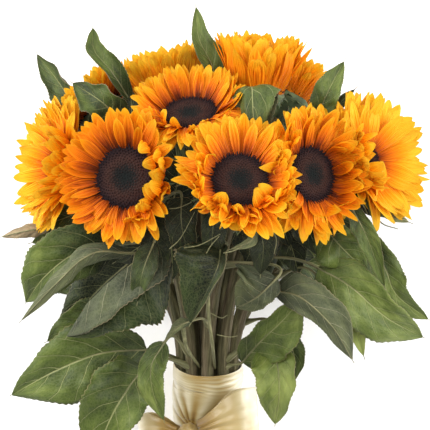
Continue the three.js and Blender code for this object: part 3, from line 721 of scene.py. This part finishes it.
def bloomFrame(bloom):
    facing = Vector(bloom["faces"]).normalized()
    reference = Vector((0, 1, 0)) if facing.y < 0.7 else Vector((0, 0, -1))
    up = (reference - facing * reference.dot(facing)).normalized()
    return Vector(bloom["at"]), facing, up.cross(facing), up


def petalOutline(t, blunt):
    widest = petalLook["widest"]
    if t < widest:
        return 0.42 + 0.58 * math.sin(t / widest * math.pi / 2)
    return max(0.03, (1 - ((t - widest) / (1 - widest)) ** 2) ** blunt)


def addPetal(bm, frame, angle, petal, tintAndPaintedLight):
    origin, facing, right, up = frame
    across, along = petalLook["across"], petalLook["along"]
    outward = right * math.cos(angle) + up * math.sin(angle)
    sideways = facing.cross(outward)
    ahead, risen, drift, last = petal["root"], petal["rise"], 0.0, 0.0
    spine = []
    for k in range(along + 1):
        t = 1 - (1 - k / along) ** 1.3
        bend = math.radians(petal["lean"] + petal["bend"] * smoothStep(petal["start"], petal["end"], t))
        step = (t - last) * petal["length"]
        ahead += math.cos(bend) * step
        risen += math.sin(bend) * step
        drift += math.sin(petal["sway"] * t) * step
        risen = max(risen, 9 * smoothStep(0, 8, petal["root"] - ahead))
        last = t
        spine.append((t, ahead, risen, drift, bend))

    def place(i, k):
        t, ahead, risen, drift, bend = spine[k]
        s = i / across * 2 - 1
        normal = facing * math.cos(bend) - outward * math.sin(bend)
        twist = petal["twist"] * t
        flatSide = -sideways * math.cos(twist) + normal * math.sin(twist)
        flatUp = normal * math.cos(twist) + sideways * math.sin(twist)
        half = petal["width"] / 2 * petalOutline(t, petal["blunt"])
        rib = petalLook["pleat"] * math.cos(s * math.pi * 2.5) * math.sin(math.pi * min(1, t * 0.98 + 0.05))
        hollow = petalLook["hollow"] * petal["hollow"] * s * s * half / 5
        ripple = petal["ripple"] * s * math.sin(t * 9 + petal["phase"] + s) * t
        made = spot(*(origin + outward * ahead + facing * risen + sideways * drift
                      + flatSide * s * half + flatUp * (rib + hollow + ripple)))
        made.z = max(made.z, 0.0006)
        return made
    for vert in sheet(bm, across, along, place, chance.random()):
        vert[bm.verts.layers.float["tone"]] = tintAndPaintedLight
        vert[bm.verts.layers.float["plain"]] = petal["plain"]


def wayAt(name, angle):
    for middle, halfWidth, way, share in unruly.get(name, ()):
        apart = abs((math.degrees(angle) - middle + 180) % 360 - 180)
        if apart < halfWidth and chance.random() < share:
            return petalWays[way]
    return petalWays["straight"]


def petalsOf(name, bloom):
    bm = newMesh("tone", "plain")
    chance.seed(bloom["seed"])
    frame = bloomFrame(bloom)
    span = bloom["reach"] - bloom["disc"] + 3
    opening = math.degrees(math.atan2(bloom["cup"] - 2, span))
    length = math.hypot(span, bloom["cup"] - 2)
    for row in petalRows + scaleRows if name in scaly else petalRows:
        for k in range(row["count"]):
            angle = 2 * math.pi * (k + chance.uniform(-0.35, 0.35) + row["lean"] / 11) / row["count"]
            way = wayAt(name, angle)
            if not way["longer"]:
                continue
            petal = dict(
                lean=opening + row["lean"] + chance.gauss(0, 3),
                bend=chance.uniform(*way["bend"]), start=way["start"], end=way["end"],
                length=length * row["longer"] * way["longer"] * chance.uniform(0.9, 1.05),
                width=row["width"] * way["wider"] * (length / 42) ** 0.8 * chance.uniform(0.85, 1.15),
                root=row["root"] + bloom["disc"] - 27, rise=row["rise"] + 1,
                plain=0.4 if name in scaly and row["rise"] < 0 else 0.0,
                sway=chance.gauss(0, 0.14), twist=chance.gauss(0, way["twist"]), hollow=chance.uniform(-0.8, 1.6),
                ripple=way["ripple"] * chance.uniform(0.5, 1.2), phase=chance.uniform(0, 6),
                blunt=chance.uniform(0.42, 0.85),
            )
            # painted shade on a bloom's left side, and the painted light each petal's pose earns it
            paintedShade = bloom.get("paintedShade", 0) * max(0, -math.cos(angle))
            addPetal(bm, frame, angle, petal, bloom["tintAndPaintedLight"] + way["paintedLight"] - paintedShade + chance.gauss(0, 0.03))
    return bm


# a thin, soft petal, ribbed lengthwise, that glows against light
petalSkin, tree, shader = newMaterial("sunflowerPetal")
uv, seed = unwrapped(tree), attribute(tree, "seed")
streaks = seededNoise(tree, stretched(tree, uv, 11, 0.9), maths(tree, "MULTIPLY", seed, 40.0), 4.0)
plain = attribute(tree, "plain")  # an outer petal has no dark base outside
along = maths(tree, "MAXIMUM", addNode(tree, "SeparateXYZ", {0: uv}, out=1), plain)
# tone carries the painted light and shade dealt out per bloom and per petal, and turns the petal yellower
gain = maths(tree, "MULTIPLY", maths(tree, "MULTIPLY_ADD", attribute(tree, "tone"), 1.4, 1.0), along)
place = maths(tree, "MULTIPLY_ADD", seed, 0.2, maths(tree, "MULTIPLY_ADD", streaks, 0.4, gain))
across = maths(tree, "ABSOLUTE", maths(tree, "SUBTRACT", addNode(tree, "SeparateXYZ", {0: uv}), 0.5))
place = maths(tree, "ADD", place, ranged(tree, across, 0.36, 0.5, 0.16))
ribs = addNode(tree, "TexWave", {
    "Vector": stretched(tree, uv, 1, 0.05), "Scale": 2.6, "Distortion": 2.0, "Detail": 1.0}, out=1)
place = maths(tree, "SUBTRACT", maths(tree, "MULTIPLY_ADD", ribs, -0.14, place), 0.21)
colour = ramp(tree, place, [
    (0.0, "4a1d0c"), (0.1, "8a360b"), (0.22, "c85608"), (0.38, "ea7709"), (0.58, "fc940d"), (0.8, "ffb016"),
    (1.0, "ffc42c")])
dress(tree, shader, colour, (maths(tree, "SUBTRACT", ribs, streaks), 0.7, 0.0012),
      {"Roughness": 0.5, "Specular IOR Level": 0.18})
glow = addNode(tree, "BsdfTranslucent", {"Color": colour})
blend = addNode(tree, "MixShader", {0: 0.24, 1: shader.outputs[0], 2: glow})
tree.links.new(blend, tree.nodes["Material Output"].inputs[0])

for name, bloom in blooms.items():
    newPiece("petals_" + name, petalsOf(name, bloom), [petalSkin], ["bloom_" + name])
print("petals ready")

discLook = dict(radius=27.0, dome=6.0, dip=2.5, florets=430, floret=1.5, around=36, rings=12, goldenAngle=137.508)
floretSkin, tree, shader = newMaterial("seedDiscFlorets")  # dry, velvety, near-black florets with a brown ring
level = maths(tree, "MULTIPLY_ADD", attribute(tree, "seed"), 0.16, attribute(tree, "tone"))
dark = ramp(tree, level, [
    (0.0, "0f1514"), (0.28, "191716"), (0.46, "39241e"), (0.62, "2d1c1a"), (0.8, "191115"), (1.0, "21141a")])
dress(tree, shader, dark, (fineNoise(tree, 1500.0), 0.5, 0.0004), {"Roughness": 0.95, "Specular IOR Level": 0.2})

# one disc, then a copy turned to each bloom
disc = newMesh("tone")
toneLayer, seedLayer = disc.verts.layers.float["tone"], disc.verts.layers.float["seed"]


def discHeight(r):
    return discLook["dome"] * math.sqrt(max(0.0, 1 - r * r * 0.9)) - discLook["dip"] * math.exp(-(r / 0.4) ** 2)


def discPlace(i, k):
    angle, r = -2 * math.pi * i / discLook["around"], 1.02 - k / discLook["rings"] * 1.02
    flat = Vector((math.cos(angle) * r, math.sin(angle) * r, 0)) * discLook["radius"] / 1000
    return flat + Vector((0, 0, discHeight(r) / 1000))


bed = sheet(disc, discLook["around"], discLook["rings"], discPlace)
for vert in bed:
    vert[toneLayer] = 0.8 * vert.co.xy.length / discLook["radius"] * 1000
bmesh.ops.remove_doubles(disc, verts=bed, dist=1e-6)
for n in range(discLook["florets"]):
    r = math.sqrt((n + 0.5) / discLook["florets"]) * 1.04
    angle = n * math.radians(discLook["goldenAngle"])
    size = discLook["floret"] * (0.62 + 0.5 * r) / 1000
    tall = (1.4 + 3.6 * smoothStep(0.4, 1.0, r)) * chance.uniform(0.6, 1.5) / 1000
    spin = Matrix.Rotation(angle, 4, "Z") @ Matrix.Translation((r * discLook["radius"] / 1000, 0, discHeight(r) / 1000))
    lean = Matrix.Rotation(r ** 4 + chance.gauss(0, 0.14), 4, "Y")
    lean = lean @ Matrix.Rotation(chance.gauss(0, 0.16), 4, "X")
    tip = size * (0.55 if r < 0.6 else 0.2)
    made = bmesh.ops.create_cone(disc, cap_ends=True, segments=5, radius1=size, radius2=tip, depth=tall,
                                 matrix=spin @ lean)
    number = chance.random()
    for vert in made["verts"]:
        vert[toneLayer] = min(r, 1) * 0.8
        vert[seedLayer] = number
pattern = bpy.data.meshes.new("disc_pattern")
disc.to_mesh(pattern)
disc.free()
bm = newMesh("tone")
for name, bloom in blooms.items():
    origin, facing, right, up = bloomFrame(bloom)
    turned = bmesh.new()
    turned.from_mesh(pattern)
    size = bloom["disc"] / discLook["radius"]
    where = Matrix.Translation(spot(*(origin + facing))) @ Matrix((right, up, facing)).transposed().to_4x4()
    spun = Matrix.Rotation(chance.uniform(0, 6), 4, "Z") @ Matrix.Diagonal((size, size, 1, 1))
    bmesh.ops.transform(turned, matrix=where @ spun, verts=turned.verts)
    turnedMesh = bpy.data.meshes.new("disc_" + name)
    turned.to_mesh(turnedMesh)
    turned.free()
    bm.from_mesh(turnedMesh)
    bpy.data.meshes.remove(turnedMesh)
bpy.data.meshes.remove(pattern)
newPiece("seed_discs", bm, [floretSkin])
print("discs ready")

# The green cup behind each bloom, and its rows of pointed bracts.
calyxLook = dict(profile=((5.4, -23.5), (8, -22), (13, -18), (20, -13.5), (26, -8), (27.5, -3), (26, 1)), sides=28,
                 rows=((15, 27, 11, -4, 24), (15, 24, 10, -8, 20), (13, 20, 9, -12, 15)))
calyxSkin, tree, shader = newMaterial("sunflowerBracts")  # downy green bracts, paler at the edge
seed = attribute(tree, "seed")
grain = seededNoise(tree, stretched(tree, unwrapped(tree), 9, 2.5), seed, 5.0)
level = maths(tree, "MULTIPLY_ADD", seed, 0.015, grain)
green = ramp(tree, level, [(0.3, "232c19"), (0.5, "3c4b29"), (0.65, "5b6b42"), (0.8, "838f66")])
dress(tree, shader, green, (grain, 0.5, 0.0006), {"Roughness": 0.7})

bm = newMesh()
for name, bloom in blooms.items():
    origin, facing, right, up = bloomFrame(bloom)
    profile = calyxLook["profile"]

    def cupPlace(i, k):
        angle = -2 * math.pi * i / calyxLook["sides"]
        radius, height = profile[k]
        outward = right * math.cos(angle) + up * math.sin(angle)
        return spot(*(origin + outward * radius * (1 + 0.02 * math.sin(7 * angle)) + facing * height))
    made = sheet(bm, calyxLook["sides"], len(profile) - 1, cupPlace, chance.uniform(0, 5))
    bmesh.ops.remove_doubles(bm, verts=made, dist=1e-6)
    for count, length, width, height, radius in calyxLook["rows"]:
        for k in range(count):
            angle = 2 * math.pi * (k + chance.uniform(-0.25, 0.25) + height / 8) / count
            long = length * chance.uniform(0.8, 1.25) * (0.3 if name in scaly else 1)
            spread = math.radians(chance.gauss(-6, 16) - (4 if height > -6 else 14))
            curl = math.radians(chance.gauss(-28, 30))
            outward = right * math.cos(angle) + up * math.sin(angle)
            sideways = facing.cross(outward)
            tilt = chance.gauss(0, 0.25)

            def bractPlace(i, k):
                t, s = k / 6, i - 1
                bend = spread + curl * t * t
                ahead, risen = radius + long * t * math.cos(bend * 0.7), height + long * t * math.sin(bend * 0.7)
                half = width / 2 * max(0.05, (0.9 - 0.2 * t) * (1 - t) ** 0.8 + 0.06 * (1 - t))
                return spot(*(origin + outward * ahead + facing * (risen - 0.8 * abs(s))
                              + sideways * (long * t * t * tilt) - sideways * s * half))
            sheet(bm, 2, 6, bractPlace, chance.uniform(0, 5))
newPiece("calyxes", bm, [calyxSkin])
print("calyxes ready")

# close-woven ivory satin: smooth, with a soft broad gloss along the weave
satin, tree, shader = newMaterial("ivorySatinRibbon")
cloud = addNode(tree, "TexNoise", {"Vector": unwrapped(tree), "Scale": 6.0, "Detail": 3.0})
# the tone paints the satin's light and shade: near white for painted highlights, golden brown for painted shade
level = maths(tree, "MULTIPLY_ADD", cloud, 0.3, attribute(tree, "tone"))
ivoryWithPaintedShading = ramp(tree, level, [(0.05, "efe9d8"), (0.3, "d3c7a4"), (0.55, "b3a276"), (0.8, "9d8145"), (1.0, "7f5f27")])
# threads about 0.2 mm apart, drawn three times as coarse so that they show
weave = addNode(tree, "TexWave", {"Vector": objectPlace(tree), "Scale": 260.0, "Distortion": 0.6})
dress(tree, shader, ivoryWithPaintedShading, (weave, 0.06, 0.0002),
      {"Roughness": 0.3, "Sheen Weight": 0.25, "Sheen Roughness": 0.4, "IOR": 1.5})

ribbon = dict(radius=35.2, knotAt=(-19, -66, 97), around=144, along=110, thickness=0.35)
axis, front = handleAxis, handleFront
across = Vector((1, 0, 0))


def wrapSpot(angle, distance, radius):
    # angle 0 is the front, and positive turns to the right
    return Vector(handle["binding"]) + axis * distance + (front * math.cos(angle) + across * math.sin(angle)) * radius


knot = Vector(ribbon["knotAt"]) - Vector(handle["binding"])
knotAlong, knotAngle = knot.dot(axis), math.atan2(knot.dot(across), knot.dot(front))


def pleats(angle, distance):
    # folds that fan out from the knot, and tight tucks round the top
    dx = (angle - knotAngle) * ribbon["radius"]
    dy = distance - knotAlong
    reach = math.hypot(dx, dy)
    turn = math.atan2(dy, dx)
    fan = (0.5 + 0.5 * math.sin(13 * turn + 1.5 * math.sin(3 * turn))) * math.exp(-((reach - 24) / 26) ** 2)
    # the tucks spread out from the left to the right
    spacing = 0.5 + 0.9 * smoothStep(-1.1, 1.3, angle)
    slant = (distance + 9 + 2 * math.sin(angle)) / spacing + 1.6 * noise.noise(Vector((angle * 1.5, distance / 9, 3)))
    tuck = (0.5 + 0.5 * math.sin(slant * 1.5)) * math.exp(-((distance + 9) / 9) ** 2) * spacing
    slow = noise.noise(Vector((math.cos(angle) * 1.5, math.sin(angle) * 1.5, distance / 26)))
    return 1.7 * fan + 1.0 * tuck + 1.1 * slow


def wrapBand(bm, distanceAt, lift, around, along, tuckIn=0.0):
    def place(i, k):
        angle = -math.pi + 2 * math.pi * i / around
        distance = distanceAt(angle, k / along)
        fold = pleats(-math.pi if i == around else angle, distance)
        edge = min(k, along - k) / along
        radius = ribbon["radius"] + fold + lift - tuckIn * (1 - smoothStep(0, 0.12, edge))
        return spot(*wrapSpot(angle, distance, radius))
    made = sheet(bm, around, along, place)
    for vert in made:
        offset = vert.co * 1000 - shift - Vector(handle["binding"])
        angle, distance = math.atan2(offset.dot(across), offset.dot(front)), offset.dot(axis)
        toKnot = math.hypot((angle - knotAngle) * ribbon["radius"], distance - knotAlong)
        # painted shade: golden brown towards the knot and in the hollows of the folds; painted highlights on the fold
        # ridges and down both sides
        paintedKnotShade = 0.45 * math.exp(-(toKnot / 24) ** 2)
        paintedLight = 0.35 * smoothStep(0.25, 1.1, angle) + 0.2 * smoothStep(0.6, 1.2, -angle)
        vert[bm.verts.layers.float["tone"]] = max(0, 0.5 + paintedKnotShade - 0.3 * pleats(angle, distance) - paintedLight)
    bmesh.ops.remove_doubles(bm, verts=made, dist=1e-6)


bm = newMesh("tone")
top, bottom = handle["sleeveTop"], -handle["sleeveLength"]
wrapBand(bm, lambda angle, t: top + (bottom - top) * t, 0.0, ribbon["around"], ribbon["along"])
# the last turns lie over the first, each a band with its own edges
wrapBand(bm, lambda angle, t: 2.5 - 3.5 * math.sin(angle + 0.6) - 17 * t, 0.7, ribbon["around"], 16, 0.5)
wrapBand(bm, lambda angle, t: -13 + 5 * math.sin(angle - 0.5) - 30 * t, 1.0, ribbon["around"], 26, 0.5)
wrapBand(bm, lambda angle, t: -72 - 6 * math.sin(angle + 1.2) - 34 * t, 1.0, ribbon["around"], 28, 0.5)
bmesh.ops.recalc_face_normals(bm, faces=bm.faces)
wrap = newPiece("ribbon_windings", bm, [satin], ["ribbon_wrap"])


def clothWall(piece):
    wall = piece.modifiers.new("cloth", "SOLIDIFY")
    wall.thickness = ribbon["thickness"] / 1000
    wall.offset = 0


clothWall(wrap)

bows = dict(
    right=dict(line=[(-7, -61, 101), (15, -51, 110), (34, -45, 110), (52, -44, 101)], half=25),
    left=dict(line=[(-31, -68, 94), (-45, -66, 90), (-59, -69, 82), (-70, -74, 72)], half=22),
)
tails = dict(
    left=[(-22, -73, 95), (-32, -105, 82), (-45, -138, 68), (-58, -166, 46)],
    right=[(-16, -73, 96), (-2, -110, 91), (9, -142, 86), (20, -170, 62)],
)
bowLook = dict(across=28, along=60, puff=7.0, pinch=0.34, crease=1.1)
tailLook = dict(across=20, along=48, half=19, pinch=0.36, notch=12)

for name, bow in bows.items():
    line = framesAlong(lineThrough(bow["line"], bowLook["along"]))
    bm = newMesh("tone")

    def loopPlace(i, k):
        # out along the upper side, round the tip and back along the lower side
        t, s = k / bowLook["along"] * 2, i / bowLook["across"] * 2 - 1
        out = t if t <= 1 else 2 - t
        out = math.sin(out * math.pi / 2) ** 0.9
        point, along, side, up = line[round(out * bowLook["along"])]
        swell = math.sin(math.pi * min(1.0, 0.12 + 0.8 * out)) ** 0.6
        half = bow["half"] * (bowLook["pinch"] + (1 - bowLook["pinch"]) * smoothStep(0, 0.75, out))
        lift = bowLook["puff"] * math.cos(t * math.pi / 2) * swell
        fading = (1 - smoothStep(0.1, 0.9, out)) * (1 if t < 1 else -1)
        crease = bowLook["crease"] * math.sin(s * 8 + 2 * math.sin(s * 3)) * fading
        bowed = 2.5 * (1 - s * s) * math.cos(t * math.pi / 2)
        return spot(*(point + side * (s * half) + up * (lift + crease + bowed)))
    start, end = (spot(*bow["line"][n]) for n in (0, -1))
    for vert in sheet(bm, bowLook["across"], bowLook["along"], loopPlace):
        # painted shade golden near the knot, fading out along the loop to a painted highlight at its tip
        out = (vert.co - start).dot(end - start) / (end - start).length_squared
        vert[bm.verts.layers.float["tone"]] = 0.8 - 0.3 * smoothStep(0, 0.5, out) - 0.45 * smoothStep(0.6, 1, out)
    clothWall(newPiece("bow_" + name + "_loop", bm, [satin], ["bow_loop_" + name]))

for name, points in tails.items():
    line = framesAlong(lineThrough(points, tailLook["along"]))
    bm = newMesh("tone")

    def tailPlace(i, k):
        t, s = k / tailLook["along"], i / tailLook["across"] * 2 - 1
        half = tailLook["half"] * (tailLook["pinch"] + (1 - tailLook["pinch"]) * smoothStep(0, 0.4, t))
        point, along, side, up = line[k]
        crease = 1.0 * math.sin(s * 7 + 1) * (1 - smoothStep(0.05, 0.6, t))
        roll = 2.2 * math.sin(t * 9 + s * 1.4) * t
        notch = tailLook["notch"] * (1 - abs(s)) * smoothStep(0.9, 1, t)
        return spot(*(point + side * (s * half) + up * (crease + roll) - along * notch))
    for vert in sheet(bm, tailLook["across"], tailLook["along"], tailPlace):
        vert[bm.verts.layers.float["tone"]] = 0.15
    clothWall(newPiece("bow_" + name + "_tail", bm, [satin], ["bow_tail_" + name]))

bm = newMesh("tone")
knotPart = bmesh.ops.create_uvsphere(bm, u_segments=36, v_segments=24, radius=1)
for vert in knotPart["verts"]:
    x, y, z = vert.co
    turn = math.atan2(z, y)
    crease = 1 + 0.07 * math.sin(9 * x + 1.3 * math.sin(turn * 2)) * (1 - x * x) + 0.05 * math.sin(turn * 7)
    offset = Vector((x * 11.5 * (1 - 0.15 * (1 - x * x)), y * 9.5 * crease, z * 8.5 * crease))
    vert.co = spot(*(Vector(ribbon["knotAt"]) + offset))
    # painted shade: the knot is golden and darker, most in the hollows of its creases
    vert[bm.verts.layers.float["tone"]] = 0.85 - 0.25 * crease
newPiece("bow_tied_knot", bm, [satin], ["bow_knot"])
print("ribbon ready")
